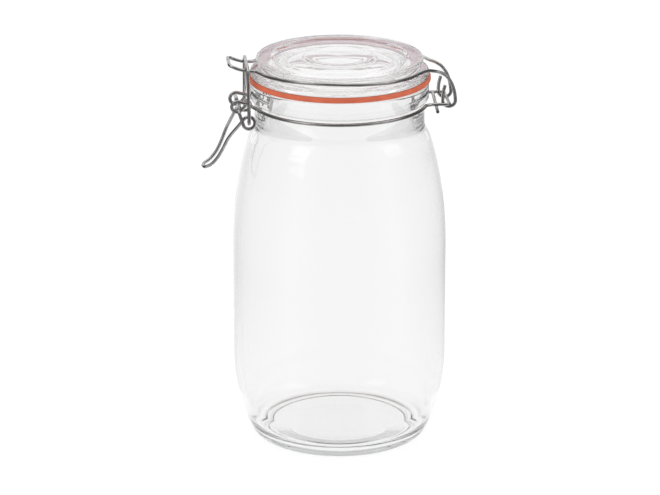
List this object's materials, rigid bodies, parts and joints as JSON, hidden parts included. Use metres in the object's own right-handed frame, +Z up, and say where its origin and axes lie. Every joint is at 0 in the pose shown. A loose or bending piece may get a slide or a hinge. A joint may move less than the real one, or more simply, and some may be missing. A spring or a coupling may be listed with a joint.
{
  "type": "clip top glass jar",
  "caption": "Empty clear glass storage jar with a clamped glass lid, a rubber sealing ring, and a hinge and over-centre clasp of bent wire.",
  "frame": {"origin": "centre of the flat middle of the jar's underside, on the jar's axis and on the surface that it stands on", "axes": "+Z up along the jar's axis; +X from the clasp towards the lid's hinge; +Y along the hinge bar, so the clasp is at -X"},
  "size_m": [0.1352, 0.1144, 0.2099],
  "materials": {
    "clear_glass": "polished",
    "clear_lid_glass": "polished",
    "orange_rubber": "satin",
    "bright_steel_wire": "polished",
    "neck_steel_wire": "polished",
    "lever_steel_wire": "polished",
    "bail_steel_wire": "polished"
  },
  "bodies": {
    "jar": {"jar_body": "clear_glass", "neck_wire": "neck_steel_wire"},
    "lid": {"lid_glass": "clear_lid_glass", "lid_wire": "bright_steel_wire", "rubber_ring": "orange_rubber"},
    "clasp_lever": {"lever": "lever_steel_wire"},
    "clasp_bail": {"bail": "bail_steel_wire"}
  },
  "joints": [
    {"name": "lid_hinge", "type": "hinge", "parent": "jar", "child": "lid", "pos_m": [0.0572, 0, 0.185], "axis": [0, 1, 0], "range_deg": [0, 200]},
    {"name": "lever_pivot", "type": "hinge", "parent": "jar", "child": "clasp_lever", "pos_m": [-0.0545, 0, 0.1853], "axis": [0, 1, 0], "range_deg": [0, 130]},
    {"name": "bail_pivot", "type": "hinge", "parent": "clasp_lever", "child": "clasp_bail", "pos_m": [-0.0492, 0, 0.1789], "axis": [0, 1, 0], "range_deg": [-165, 0], "deforming": ["bail"]}
  ],
  "couplings": [
    {"joint": "bail_pivot", "follows": "lever_pivot", "ratio": -1.25}
  ]
}
